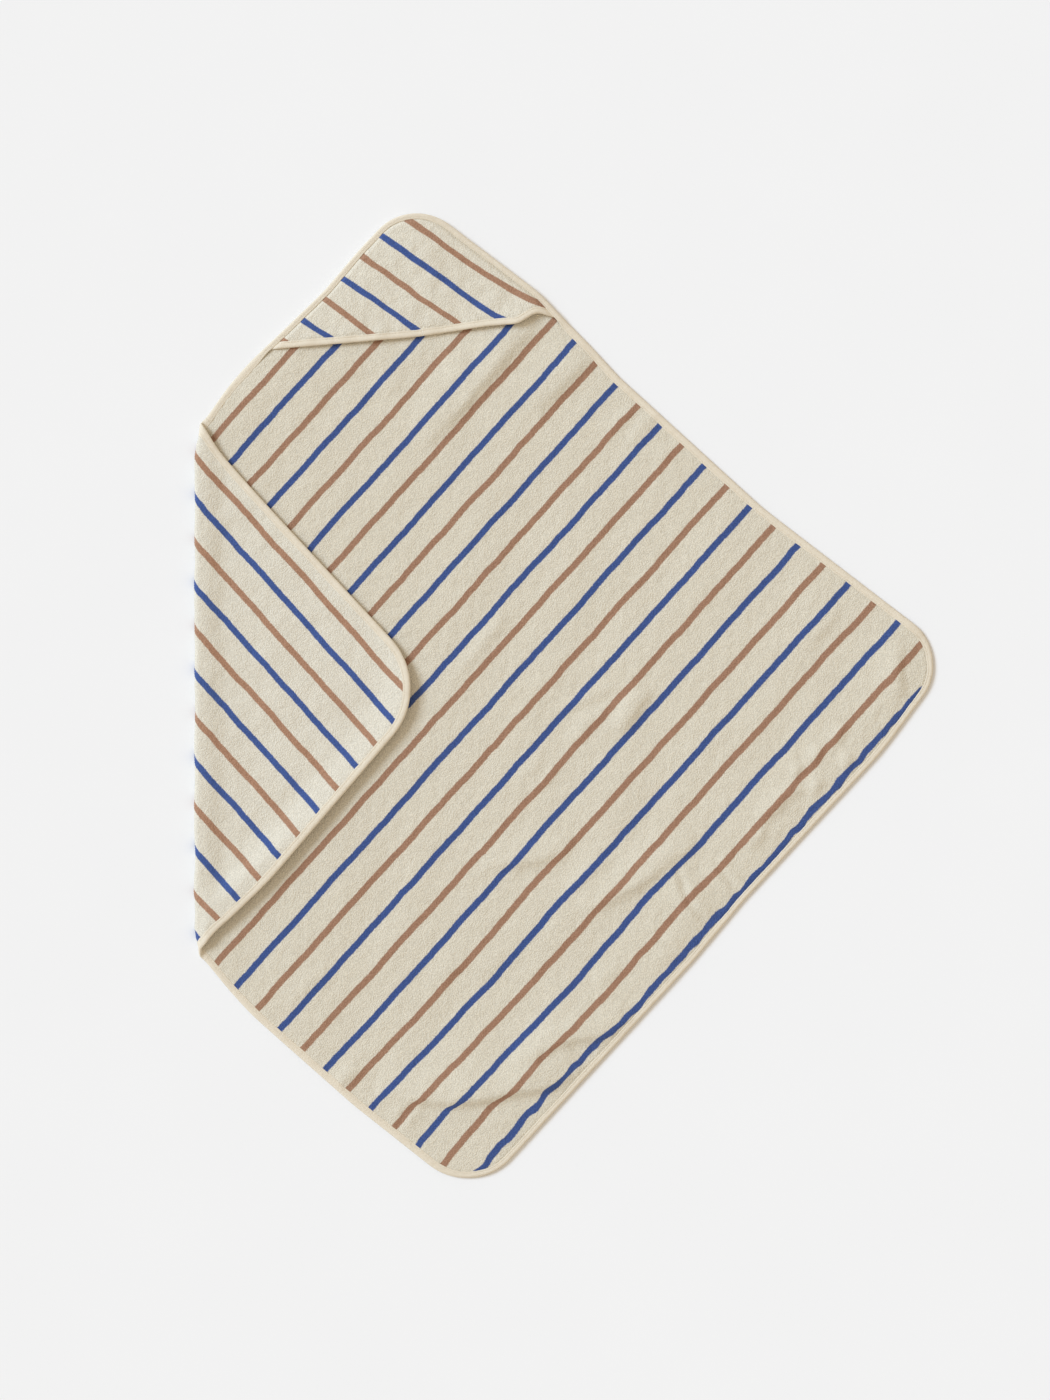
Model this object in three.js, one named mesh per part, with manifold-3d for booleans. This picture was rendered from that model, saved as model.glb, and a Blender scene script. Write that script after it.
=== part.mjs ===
// Hooded baby towel: a near-square terry towel with round corners, a terry triangle sewn over one corner
// as a hood, and a narrow tape folded over every edge as a binding. One side corner lies folded over onto
// the towel, along a line parallel to Y.
// Millimetres, +Z up. The towel lies on z = 0, with its origin under the middle of its bounding box.
// The cloth is laid out flat first, then cut into the pieces that move, and the side corner is turned over.
import * as THREE from "three";
import { mergeVertices } from "three/addons/utils/BufferGeometryUtils.js";
import Module from "manifold-3d";

const wasm = await Module();
wasm.setup();

// Cloth, tape and thread
const TERRY = 3; // thickness of the terry
const TAPE = 0.9; // thickness of the binding tape
const BINDING_WIDTH = 8; // width of the binding after folding
const BINDING_TOP = 3.3; // thickness of binding, terry and binding, pressed together
const HOOD_BINDING_TOP = 5.2; // the same where the binding holds two layers of terry
const SEAM_TERRY = [1.2, 2.1]; // heights of the terry pressed inside the binding
const HOOD_SEAM_TERRY = [2.4, 4]; // heights of the hood panel's margin, pressed on top of it
const GAP = 0.3; // clearance between neighbours
const STITCH_INSET = 6.2; // the stitch line's distance from the outer edge
const THREAD = 0.6; // width of the line of stitches
const THREAD_DEPTH = 0.4; // height of the line of stitches, let into the tape

// The fold of the side corner, parallel to Y
const LAYER_GAP = 5; // space between the two layers at the fold, which is a soft roll
const FOLD_AXIS_Z = TERRY + LAYER_GAP / 2;
const FOLD_X = -377.5; // where the flat towel ends and the fold's bend begins
const FOLD_ENDS = [-268, 281]; // the bend's ends along Y
const BEND_RADIUS = FOLD_AXIS_Z - TERRY / 2; // at the middle of the cloth
const FOLD_AXIS_X = FOLD_X - BEND_RADIUS;
const CORNER_EDGE_X = FOLD_AXIS_X - BEND_RADIUS; // where the side corner starts when it lies open
const FOLDED_ANGLE = Math.PI;

// The hood
const HOOD_LEFT = [-303, 336]; // ends of the line that the hood corner turns on, just below the hood
const HOOD_RIGHT = [-8, 368.5];
const HOOD_LENGTH = 137.5; // from that line to the hood panel's tip, which stays down as it opens
const HOOD_RISE = 9; // height of the pocket's mouth when the hood lies at rest
const HOOD_PANEL_GAP = 1.5; // clearance from the hood panel to the binding around it
const HOOD_FRONT_EDGE = [
  // the hood's open front edge, from left to right, with its ends outside the towel: x, y, corner radius
  [-330, 354, 0],
  [-230, 362, 300],
  [-150, 369, 300],
  [-60, 381, 150],
  [-28, 391.5, 60],
  [30, 388, 0],
];

// The whole towel lying open, clockwise: x, y, corner radius
const TOWEL_OUTLINE = [
  [-157, 517.5, 56], // hood corner
  [-23, 416, 115],
  [57, 329, 160],
  [205, 194, 300],
  [404.5, 41, 54], // right corner
  [330, -59, 300],
  [188, -212, 200],
  [136, -274, 200],
  [-91, -520, 61], // foot corner
  [-216, -421, 200],
  [-320, -329, 200],
  [FOLD_AXIS_X, -268, 300],
  [-463, -188, 300],
  [-632, 10, 75], // side corner, which is folded over
  [-418, 240, 300],
  [FOLD_AXIS_X, 281, 200],
  [-322, 346, 200],
  [-247, 418, 200],
  [-213, 458, 200],
];

const ARC_STEP = THREE.MathUtils.degToRad(9);
const FAR = 1200; // reach of the cutting blocks, past every edge

const MATERIALS = {
  terry: { color: "#d8d0bc", roughness: 0.95, metalness: 0 },
  binding: { color: "#ded0b4", roughness: 0.85, metalness: 0 },
  thread: { color: "#e2d6bd", roughness: 0.6, metalness: 0 },
};

// Rounds each corner of a path of [x, y, radius] with an arc. An open path keeps its two ends.
function rounded(corners, closed = true) {
  const points = [];
  corners.forEach(([x, y, radius], i) => {
    const corner = new THREE.Vector2(x, y);
    const isEnd = !closed && (i === 0 || i === corners.length - 1);
    if (isEnd || radius === 0) {
      points.push(corner);
      return;
    }
    const before = corners[(i + corners.length - 1) % corners.length];
    const after = corners[(i + 1) % corners.length];
    const toBefore = new THREE.Vector2(before[0] - x, before[1] - y).normalize();
    const toAfter = new THREE.Vector2(after[0] - x, after[1] - y).normalize();
    const half = Math.acos(THREE.MathUtils.clamp(toBefore.dot(toAfter), -1, 1)) / 2;
    const turn = Math.PI - 2 * half;
    const middle = toBefore.clone().add(toAfter).normalize();
    const centre = corner.clone().addScaledVector(middle, radius / Math.sin(half));
    const start = corner.clone().addScaledVector(toBefore, radius / Math.tan(half)).sub(centre);
    const clockwise = toBefore.cross(toAfter) > 0;
    const steps = Math.max(1, Math.ceil(turn / ARC_STEP));
    for (let k = 0; k <= steps; k += 1) {
      const angle = (clockwise ? -1 : 1) * (turn * k) / steps;
      points.push(start.clone().rotateAround(new THREE.Vector2(), angle).add(centre));
    }
  });
  return points;
}

// Moves a clockwise closed outline inwards by a distance.
function inset(outline, distance) {
  return outline.map((point, i) => {
    const before = outline[(i + outline.length - 1) % outline.length];
    const after = outline[(i + 1) % outline.length];
    const inFrom = normal(before, point);
    const inTo = normal(point, after);
    const middle = inFrom.clone().add(inTo).normalize();
    return point.clone().addScaledVector(middle, distance / middle.dot(inFrom));
  });
}

// The inward normal of a clockwise outline's side.
function normal(from, to) {
  return new THREE.Vector2(to.y - from.y, from.x - to.x).normalize();
}

// A closed three.js geometry as a solid that can be cut and joined.
function solid(geometry) {
  geometry.deleteAttribute("normal");
  geometry.deleteAttribute("uv");
  const merged = mergeVertices(geometry, 1e-4);
  return new wasm.Manifold(
    new wasm.Mesh({
      numProp: 3,
      vertProperties: new Float32Array(merged.attributes.position.array),
      triVerts: new Uint32Array(merged.index.array),
    }),
  );
}

// An upright block over an outline, from one height to another.
function block(outline, bottom, top) {
  const geometry = new THREE.ExtrudeGeometry(new THREE.Shape(outline), {
    depth: top - bottom,
    bevelEnabled: false,
  });
  geometry.translate(0, 0, bottom);
  return solid(geometry);
}

// The part of a solid on one side of a line: to the left of the way from one point to the other,
// and at least `clearance` from the line.
function leftOf(from, to, clearance, body) {
  const start = new THREE.Vector2(...from);
  const along = new THREE.Vector2(...to).sub(start).normalize();
  const side = new THREE.Vector2(-along.y, along.x);
  const corner = (a, s) => start.clone().addScaledVector(along, a).addScaledVector(side, s);
  const outline = [corner(-FAR, clearance), corner(FAR, clearance), corner(FAR, FAR), corner(-FAR, FAR)];
  return body.intersect(block(outline, -FAR, FAR));
}

function mesh(name, material, body) {
  const cut = body.getMesh();
  const geometry = new THREE.BufferGeometry();
  geometry.setAttribute("position", new THREE.BufferAttribute(cut.vertProperties, 3));
  geometry.setIndex(new THREE.BufferAttribute(cut.triVerts, 1));
  geometry.computeVertexNormals();
  const result = new THREE.Mesh(geometry, new THREE.MeshStandardMaterial(MATERIALS[material]));
  result.name = name;
  return result;
}

// The tape folded over an outline's edge, with its slot for the terry and its groove for the stitches.
// The groove is on the top, or underneath where `underneath` is true.
function binding(outline, top, underneath) {
  const grooveDepth = THREAD_DEPTH + GAP;
  const [grooveBottom, grooveTop] = underneath ? [-1, grooveDepth] : [top - grooveDepth, top + 1];
  const groove = block(inset(outline, STITCH_INSET - THREAD / 2 - GAP), grooveBottom, grooveTop).subtract(
    block(inset(outline, STITCH_INSET + THREAD / 2 + GAP), -FAR, FAR),
  );
  return block(outline, 0, top)
    .subtract(block(inset(outline, BINDING_WIDTH), -1, top + 1))
    .subtract(block(inset(outline, TAPE), TAPE, top - TAPE))
    .subtract(groove);
}

// The line of stitches, level with the tape's surface.
function stitching(outline, top, underneath) {
  const bottom = underneath ? 0 : top - THREAD_DEPTH;
  return block(inset(outline, STITCH_INSET - THREAD / 2), bottom, bottom + THREAD_DEPTH).subtract(
    block(inset(outline, STITCH_INSET + THREAD / 2), -FAR, FAR),
  );
}

// The terry: full thickness inside the binding, and a pressed margin in the binding's slot.
function panel(outline) {
  const margin = block(inset(outline, TAPE + GAP), ...SEAM_TERRY);
  return block(inset(outline, BINDING_WIDTH + GAP), 0, TERRY).add(margin);
}

// Half a ring around the fold's axis, where the cloth turns over, between two places along Y.
function bend(name, material, thickness, fromY, toY) {
  const outer = FOLD_AXIS_Z;
  const shape = new THREE.Shape();
  shape.absarc(FOLD_X, FOLD_AXIS_Z, outer, Math.PI / 2, 1.5 * Math.PI, false);
  shape.absarc(FOLD_X, FOLD_AXIS_Z, outer - thickness, 1.5 * Math.PI, Math.PI / 2, true);
  const geometry = new THREE.ExtrudeGeometry(shape, {
    depth: toY - fromY,
    bevelEnabled: false,
    curveSegments: 10,
  });
  geometry.rotateX(Math.PI / 2);
  geometry.translate(0, toY, 0);
  return mesh(name, material, solid(geometry));
}

const open = rounded(TOWEL_OUTLINE);
const isFlat = (body) => leftOf([FOLD_X, 0], [FOLD_X, -1], GAP, body);
const isCorner = (body) => leftOf([CORNER_EDGE_X, 0], [CORNER_EDGE_X, 1], GAP, body);
const isHood = (body) => leftOf(HOOD_LEFT, HOOD_RIGHT, GAP / 2, body);
const isBelowHood = (body) => isFlat(leftOf(HOOD_RIGHT, HOOD_LEFT, GAP / 2, body));
const mainBinding = isBelowHood(binding(open, BINDING_TOP, false));
const mainStitching = isBelowHood(stitching(open, BINDING_TOP, false));

// The binding's runs along the towel's four sides: parted at the middles of the right and foot corners.
const [[, rightY], [footX]] = [TOWEL_OUTLINE[4], TOWEL_OUTLINE[8]];
const HALF_GAP = GAP / 2;
const above = (body) => leftOf([0, rightY], [1, rightY], HALF_GAP, body);
const below = (body) => leftOf([0, rightY], [-1, rightY], HALF_GAP, body);
const onTheLeft = (body) => leftOf([footX, 0], [footX, 1], HALF_GAP, body);
const onTheRight = (body) => leftOf([footX, 0], [footX, -1], HALF_GAP, body);

const towel = new THREE.Group();
towel.add(
  mesh("main_panel", "terry", isBelowHood(panel(open))),
  mesh("upper_left_binding", "binding", above(onTheLeft(mainBinding))),
  mesh("upper_right_binding", "binding", above(onTheRight(mainBinding))),
  mesh("lower_right_binding", "binding", below(onTheRight(mainBinding))),
  mesh("lower_left_binding", "binding", below(onTheLeft(mainBinding))),
  mesh("upper_left_stitching", "thread", above(onTheLeft(mainStitching))),
  mesh("upper_right_stitching", "thread", above(onTheRight(mainStitching))),
  mesh("lower_right_stitching", "thread", below(onTheRight(mainStitching))),
  mesh("lower_left_stitching", "thread", below(onTheLeft(mainStitching))),
);

// The side corner, made open and turned over about the fold's axis.
const corner = new THREE.Group();
corner.position.set(FOLD_AXIS_X, 0, FOLD_AXIS_Z);
corner.rotation.y = FOLDED_ANGLE;
const cornerPieces = new THREE.Group();
cornerPieces.position.set(-FOLD_AXIS_X, 0, -FOLD_AXIS_Z);
cornerPieces.add(
  mesh("corner_panel", "terry", isCorner(panel(open))),
  mesh("corner_binding", "binding", isCorner(binding(open, BINDING_TOP, true))),
  mesh("corner_stitching", "thread", isCorner(stitching(open, BINDING_TOP, true))),
);
corner.add(cornerPieces);
towel.add(corner);

// The bend between the two, with the binding's own bends at its ends.
const [foldBottom, foldTop] = FOLD_ENDS;
const bindingRun = BINDING_WIDTH * Math.SQRT2; // the binding crosses the fold at about 45 degrees
towel.add(
  bend("fold_panel", "terry", TERRY, foldBottom + bindingRun + GAP, foldTop - bindingRun - GAP),
  bend("fold_binding_lower", "binding", BINDING_TOP, foldBottom, foldBottom + bindingRun),
  bend("fold_binding_upper", "binding", BINDING_TOP, foldTop - bindingRun, foldTop),
);

// The hood corner: the towel's own corner, with the margin of the hood panel sewn onto it.
const hoodMargin = block(inset(open, TAPE + GAP), ...HOOD_SEAM_TERRY).subtract(
  block(inset(open, BINDING_WIDTH), -FAR, FAR),
);
towel.add(
  mesh("hood_back_panel", "terry", isHood(panel(open))),
  mesh("hood_panel_margin", "terry", isHood(hoodMargin)),
  mesh("hood_corner_binding", "binding", isHood(binding(open, HOOD_BINDING_TOP, false))),
  mesh("hood_corner_stitching", "thread", isHood(stitching(open, HOOD_BINDING_TOP, false))),
);

// The hood panel, made flat with its underside on z = 0 and tilted about the hood corner, so that its
// front edge stands clear of the towel. Its front edge has a binding of its own.
const frontEdge = rounded(HOOD_FRONT_EDGE, false);
const hoodAlong = new THREE.Vector2(HOOD_RIGHT[0] - HOOD_LEFT[0], HOOD_RIGHT[1] - HOOD_LEFT[1]).normalize();
const hoodInwards = new THREE.Vector2(-hoodAlong.y, hoodAlong.x);
const behindEdge = (distance, body) => {
  const near = frontEdge.map((point) => point.clone().addScaledVector(hoodInwards, distance));
  const far = [near.at(-1), near[0]].map((point) => point.clone().addScaledVector(hoodInwards, FAR));
  return body.intersect(block([...near, ...far], -FAR, FAR));
};
const band = (near, far, bottom, top) => {
  const behind = behindEdge(near, block(hoodOutline, bottom, top));
  return behind.subtract(behindEdge(far, behind));
};
const hoodOutline = inset(open, BINDING_WIDTH + HOOD_PANEL_GAP);
const frontBottom = (TERRY - BINDING_TOP) / 2; // the front binding is centred on the terry
const frontTop = frontBottom + BINDING_TOP;
const frontSeam = SEAM_TERRY.map((height) => height + frontBottom);
const grooveFloor = frontTop - THREAD_DEPTH - GAP;
const hoodFrontBinding = band(0, BINDING_WIDTH, frontBottom, frontTop)
  .subtract(band(TAPE, BINDING_WIDTH + 1, frontBottom + TAPE, frontTop - TAPE))
  .subtract(band(STITCH_INSET - THREAD / 2 - GAP, STITCH_INSET + THREAD / 2 + GAP, grooveFloor, FAR));
const hoodFrontStitching = band(
  STITCH_INSET - THREAD / 2,
  STITCH_INSET + THREAD / 2,
  frontTop - THREAD_DEPTH,
  frontTop,
);
const hoodFrontPanel = behindEdge(BINDING_WIDTH + GAP, block(hoodOutline, 0, TERRY)).add(
  behindEdge(TAPE + GAP, block(hoodOutline, ...frontSeam)),
);

const hoodMid = new THREE.Vector2(...HOOD_LEFT).add(new THREE.Vector2(...HOOD_RIGHT)).multiplyScalar(0.5);
const hoodPivot = hoodMid.clone().addScaledVector(hoodInwards, HOOD_LENGTH);
const hoodFront = new THREE.Group();
hoodFront.position.set(hoodPivot.x, hoodPivot.y, TERRY + GAP);
const hoodAxis = new THREE.Vector3(hoodAlong.x, hoodAlong.y, 0);
hoodFront.quaternion.setFromAxisAngle(hoodAxis, -Math.asin(HOOD_RISE / HOOD_LENGTH));
const hoodFrontPieces = new THREE.Group();
hoodFrontPieces.position.set(-hoodPivot.x, -hoodPivot.y, 0);
hoodFrontPieces.add(
  mesh("hood_front_panel", "terry", hoodFrontPanel),
  mesh("hood_front_binding", "binding", hoodFrontBinding),
  mesh("hood_front_stitching", "thread", hoodFrontStitching),
);
hoodFront.add(hoodFrontPieces);
towel.add(hoodFront);

export default towel;
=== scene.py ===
"""A hooded baby towel of striped terry, laid flat with one side corner folded over onto it.

The cloth is meshed flat, as it was cut, and then laid: straight on the floor, round the fold, and back
over itself. Lengths are in millimetres until a mesh is made, and then in metres. The flat cloth is
described in the plane of the open towel: x, y, and s, the height above the cloth's underside.
"""

import math

import bmesh
import bpy
import numpy as np
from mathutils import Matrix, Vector, geometry, kdtree


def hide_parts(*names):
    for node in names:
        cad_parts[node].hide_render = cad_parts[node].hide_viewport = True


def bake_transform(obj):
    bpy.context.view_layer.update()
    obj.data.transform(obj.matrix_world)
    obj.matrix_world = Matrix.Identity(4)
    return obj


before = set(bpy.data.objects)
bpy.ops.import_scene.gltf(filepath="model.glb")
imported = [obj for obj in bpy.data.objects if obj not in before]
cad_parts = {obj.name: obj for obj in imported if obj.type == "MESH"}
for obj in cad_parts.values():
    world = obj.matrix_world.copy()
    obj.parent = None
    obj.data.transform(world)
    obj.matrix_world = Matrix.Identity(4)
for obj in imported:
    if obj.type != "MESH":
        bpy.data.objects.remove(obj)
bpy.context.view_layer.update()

MM = 0.001

# -------- the cut, as in the CAD part
TERRY = 3.0  # thickness of the terry
BINDING_TOP = 3.3  # thickness of the bound edge
HOOD_BINDING_TOP = 5.2  # the same where two layers of terry are bound
FOLD_HEIGHT = 5.5  # height of the fold's axis
FOLD_X = -377.5  # where the flat towel ends and the bend begins
FOLD_AXIS_X = -381.5
CORNER_EDGE_X = -385.5  # where the bend ends, with the corner lying open
HOOD_LEFT = np.array([-303.0, 336.0])  # ends of the line the hood corner turns on
HOOD_RIGHT = np.array([-8.0, 368.5])
HOOD_FRONT_EDGE = [
    (-330, 354, 0),
    (-230, 362, 300),
    (-150, 369, 300),
    (-76, 380, 100),
    (-46, 382, 24),
    (-27, 394, 14),
    (-12, 390, 14),
    (24, 380, 0),
]
TOWEL_OUTLINE = [  # clockwise from the hood corner: x, y, corner radius
    (-157, 517.5, 56),
    (-23, 416, 115),
    (57, 329, 160),
    (205, 194, 300),
    (404.5, 41, 54),
    (330, -59, 300),
    (188, -212, 200),
    (136, -274, 200),
    (-91, -520, 61),
    (-216, -421, 200),
    (-320, -329, 200),
    (FOLD_AXIS_X, -268, 300),
    (-463, -188, 300),
    (-632, 10, 75),
    (-418, 240, 300),
    (FOLD_AXIS_X, 281, 200),
    (-322, 346, 200),
    (-247, 418, 200),
    (-213, 458, 200),
]

# -------- looks
ARC_STEP = math.radians(3)
BINDING_WIDTH = 8.0
HOOD_BINDING_WIDTH = 6.2  # what shows of it beside the hood, where the terry bulges over it
PUCKERED_BINDING_WIDTH = 6.4  # and along the lower right side
FRONT_BINDING_WIDTH = 7.2
TAPE = 0.8
STITCH_SHARE = 0.77  # the stitch line's place across the binding
STITCH_PITCH = 3.2
STITCH_LENGTH = 2.5
STITCH_WIDTH = 0.5
STITCH_SUNK = 0.2  # how deep a stitch's middle lies in the tape
CREASE_CLEAR = 1.6  # no stitch lies this close to the fold's crease
CLOTH_INSET = 1.3  # how far inside the binding the terry's cut edge lies
FINE_RINGS = (1.3, 3.0, 5.0, 6.6, 7.8, 9.0, 10.4, 12.2)  # rows of vertices along the edge
RING_STEP = 2.5
GRID = 3.6  # spacing of the vertices inside
BEND_CLEAR = 3.5  # the bend's own rows of vertices reach this far past it
BEND_COLUMNS = 6  # in each half of it
BEND_STEP = 2.6
BEND_SPAN = np.arange(-262, 276, BEND_STEP)
HOOD_ROWS = np.arange(-2.4, 21.5, 2.0)  # rows of vertices across the hood corner's bend
SEAM_X = FOLD_X + 1.0  # where the two pieces of the towel's cloth meet, under the folded corner

# Stripes. Across the towel their middles lie at q = FIRST + PITCH n + WIDEN n^2 for whole n.
STRIPE_ACROSS = np.array([0.744, -0.6682])
STRIPE_FIRST = -81.5  # of the brown stripe that ends at the foot of the fold
STRIPE_PITCH = 30.9
STRIPE_WIDEN = 0.0515
HOOD_STRIPE_ACROSS = np.array([-0.5807, -0.8141])
HOOD_STRIPE_FIRST = -247.6
HOOD_STRIPE_PITCH = 29.15

# Ridges of the towel: height, half width left of its line, half width right of it, and the line
LOWEST_RIDGE = [(-194, -410), (-149, -418), (-114, -420), (-82, -417), (-53, -410), (-11, -403), (23, -381)]
RIDGES = [
    (7.2, 32, 6.5, LOWEST_RIDGE),
    (4.4, 20, 6.5, [(-52, -375), (-25, -370), (-7, -360), (14, -354), (42, -352), (75, -329)]),
    (4.8, 24, 8, [(20, -226), (46, -214), (74, -200), (95, -184), (113, -170), (140, -152)]),
    (3.8, 20, 7, [(-84, -177), (-50, -176), (-25, -171), (-7, -166), (14, -154)]),
    (1.6, 10, 5, [(6, -204), (28, -184), (50, -170)]),
    (4.6, 15, 7.5, [(60, -42), (67, -30), (78, -12), (92, 6)]),
    (1.8, 9, 5, [(10, -54), (28, -30), (50, -14)]),
    (1.6, 10, 6, [(-8, -22), (24, -8), (60, 8)]),
    (1.2, 8, 5, [(-46, -96), (-30, -78), (-16, -66)]),
    (1.2, 8, 5, [(-28, -104), (-12, -86), (0, -72)]),
    (6.0, 32, 9, [(-143, 253), (-102, 296), (-77, 324), (-52, 352), (-25, 385)]),
    (4.6, 28, 9.5, [(-30, 288), (-12, 306), (15, 332), (34, 349)]),
    (1.5, 8, 5, [(44, 260), (60, 278), (78, 298)]),
    (1.5, 8, 5, [(66, 252), (84, 272), (100, 290)]),
    (1.2, 8, 5, [(96, 238), (112, 252)]),
    (2.0, 8, 7, [(-116, 10), (-84, 46), (-52, 86)]),
    (3.6, 13, 5.5, [(206, -132), (230, -108), (248, -96)]),
    (2.7, 8, 4.5, [(258, -104), (270, -86)]),
    (2.6, 8, 4.5, [(236, -84), (248, -74)]),
    (2.7, 8, 4.5, [(258, -70), (268, -54)]),
    (2.6, 8, 4.5, [(280, -50), (292, -32)]),
    (2.3, 7, 4, [(290, -78), (300, -60)]),
    (2.6, 9, 5.5, [(192, -160), (206, -142), (213, -130)]),
    (1.6, 10, 6, [(34, -300), (60, -282)]),
    (1.3, 16, 9, [(-130, -296), (-96, -270)]),
    (1.3, 18, 10, [(-90, -300), (-60, -262)]),
    (2.4, 10, 6, [(-232, -404), (-206, -384)]),
    (1.6, 14, 8, [(-290, -330), (-238, -280)]),
    (1.4, 10, 6, [(248, 44), (290, 88)]),
    (3.4, 15, 5, [(352, -2), (347, 22), (348, 48)]),
]
# Furrows between puckers: depth, half width, and the line
FURROWS = [
    (2.0, 4.5, [(334, 72), (350, 62), (366, 54)]),
    (2.3, 4, [(116, -170), (123, -192), (128, -210), (148, -234)]),
    (2.0, 4, [(156, -170), (182, -204)]),
    (1.5, 4, [(96, -250), (120, -266)]),
    (1.8, 4, [(-171, -446), (-160, -428), (-149, -419)]),
    (1.0, 5, [(300, -12), (318, -22)]),
    (1.1, 4, [(322, -30), (330, -12)]),
]
# Where the cloth is gathered across a ridge: how much of it, over what width, and the line
GATHERS = [
    (6.5, 9, [(-194, -408), (-114, -418), (-53, -408), (23, -379)]),
    (3.5, 8, [(-52, -373), (-7, -358), (75, -327)]),
    (3.0, 10, [(20, -224), (74, -198), (140, -150)]),
    (2.0, 9, [(-84, -175), (-25, -169), (14, -152)]),
]
GATHER_FADE = 80  # how far past the ridge the gathered length is felt
RIDGE_CREST = 0.6  # how far left of its line a ridge's crest lies, as a share of its right half width
STRIPES_SKEWED = 6.3  # how far the stripes right of the middle run from even spacing
STRIPES_CRIMPED = 1.1  # how far the puckers shake the stripes along the lower right side

# The fold. No vertex lies at the bend's middle, so that its crease opens to a low one.
BEND_GAP = 0.08  # half of the part left out, as a share of the whole bend
ROLL_IN = 3.7  # how far inside the fold's line its soft roll stands
ROLL_IN_TOP, ROLL_IN_FOOT = 5.5, 4.5  # and how much more at its two ends
FOOT_BACK = 6.5  # how far the folded edge runs back on the edge below it, at the fold's foot

# The folded corner lies below a level fold. Its edges stand up by shares of that depth.
CORNER_SINKS = 3.35
LOWER_LIFT, TIP_LIFT, UPPER_LIFT = 2.05, 0.3, 0.62
FOOT_LIFT = 5.0  # in millimetres, along the edge above the fold's foot
CORNER_TIP = np.array([-131, 10])
# It stands no higher than lets it lie on the floor again once it is opened.
MOST_AT_FOLD, MOST_SLOPE = 2.3, 0.0175


def unit(v):
    return v / np.linalg.norm(v)


def smooth(t):
    t = np.clip(t, 0.0, 1.0)
    return t * t * (3 - 2 * t)


def bell(t):
    return np.exp(-(t**2))


def turned(v, angle):
    c, s = math.cos(angle), math.sin(angle)
    return np.array([v[0] * c - v[1] * s, v[0] * s + v[1] * c])


HOOD_ALONG = unit(HOOD_RIGHT - HOOD_LEFT)
HOOD_INWARDS = np.array([-HOOD_ALONG[1], HOOD_ALONG[0]])
HOOD_MIDDLE = (HOOD_LEFT + HOOD_RIGHT) / 2


def up_hood(xy):
    """How far points lie past the line that the hood corner turns on."""
    return (xy - HOOD_MIDDLE) @ HOOD_INWARDS


# -------- outlines
def rounded(corners, closed=True):
    """A clockwise path through the corners, each rounded with its radius."""
    points, count = [], len(corners)
    for i, (x, y, radius) in enumerate(corners):
        corner = np.array([x, y], float)
        if radius == 0 or (not closed and i in (0, count - 1)):
            points.append(corner)
            continue
        to_before = unit(np.array(corners[i - 1][:2], float) - corner)
        to_after = unit(np.array(corners[(i + 1) % count][:2], float) - corner)
        half = math.acos(np.clip(to_before @ to_after, -1, 1)) / 2
        turn = math.pi - 2 * half
        centre = corner + unit(to_before + to_after) * radius / math.sin(half)
        start = corner + to_before * radius / math.tan(half) - centre
        clockwise = to_before[0] * to_after[1] - to_before[1] * to_after[0] > 0
        steps = max(1, math.ceil(turn / ARC_STEP))
        for k in range(steps + 1):
            points.append(centre + turned(start, (-1 if clockwise else 1) * turn * k / steps))
    return np.array(points)


def lengths(points):
    """How far along a path each of its points lies."""
    return np.concatenate([[0], np.cumsum(np.linalg.norm(np.diff(points, axis=0), axis=1))])


def resampled(points, step):
    """Points at even steps along an open path."""
    along = lengths(points)
    places = np.linspace(0, along[-1], max(2, round(along[-1] / step) + 1))
    return np.stack([np.interp(places, along, points[:, k]) for k in (0, 1)], axis=1)


def inward_normals(points, closed):
    """Of a clockwise path: to the right of the way along it."""
    if closed:
        way = np.roll(points, -1, axis=0) - np.roll(points, 1, axis=0)
    else:
        way = np.gradient(points, axis=0)
    way = way / np.linalg.norm(way, axis=1)[:, None]
    return np.stack([way[:, 1], -way[:, 0]], axis=1)


def towel_edge():
    """The open towel's outline, evenly stepped, with finer steps round the fold and points on the seam."""
    points = rounded(TOWEL_OUTLINE)
    points = resampled(np.vstack([points, points[:1]]), RING_STEP)[:-1]
    made = []
    for a, b in zip(points, np.roll(points, -1, axis=0), strict=True):
        places = {0.0}
        if min(a[0], b[0]) < FOLD_X + 6 and max(a[0], b[0]) > CORNER_EDGE_X - 6:
            places |= {0.34, 0.67}
        if (a[0] - SEAM_X) * (b[0] - SEAM_X) < 0:
            places.add((SEAM_X - a[0]) / (b[0] - a[0]))
        made += [a + (b - a) * t for t in sorted(places)]
    return np.array(made)


def puckered_share(xy):
    """1 along the lower right side, where the binding gathers the terry, and 0 on the rest."""
    return smooth((xy @ STRIPE_ACROSS - 215) / 50)


EDGE = towel_edge()
EDGE_INWARDS = inward_normals(EDGE, True)
HOOD_DRAWN_IN = 1.6  # the hood's puffed layers draw its two sides in by this much
PUCKERED_DRAWN_IN = 2.0  # and the puckers the lower right side
EDGE_DRAWN_IN = HOOD_DRAWN_IN * smooth((up_hood(EDGE) + 20) / 60)
EDGE_DRAWN_IN += PUCKERED_DRAWN_IN * puckered_share(EDGE)
EDGE = EDGE + EDGE_INWARDS * EDGE_DRAWN_IN[:, None]


def tree_of(points):
    """A tree that finds the nearest of some flat points."""
    tree = kdtree.KDTree(len(points))
    for k, (x, y) in enumerate(points):
        tree.insert((x, y, 0), k)
    tree.balance()
    return tree


EDGE_TREE = tree_of(resampled(np.vstack([EDGE, EDGE[:1]]), 0.7))


def edge_distance(xy):
    return np.array([EDGE_TREE.find((x, y, 0))[2] for x, y in xy])


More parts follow.
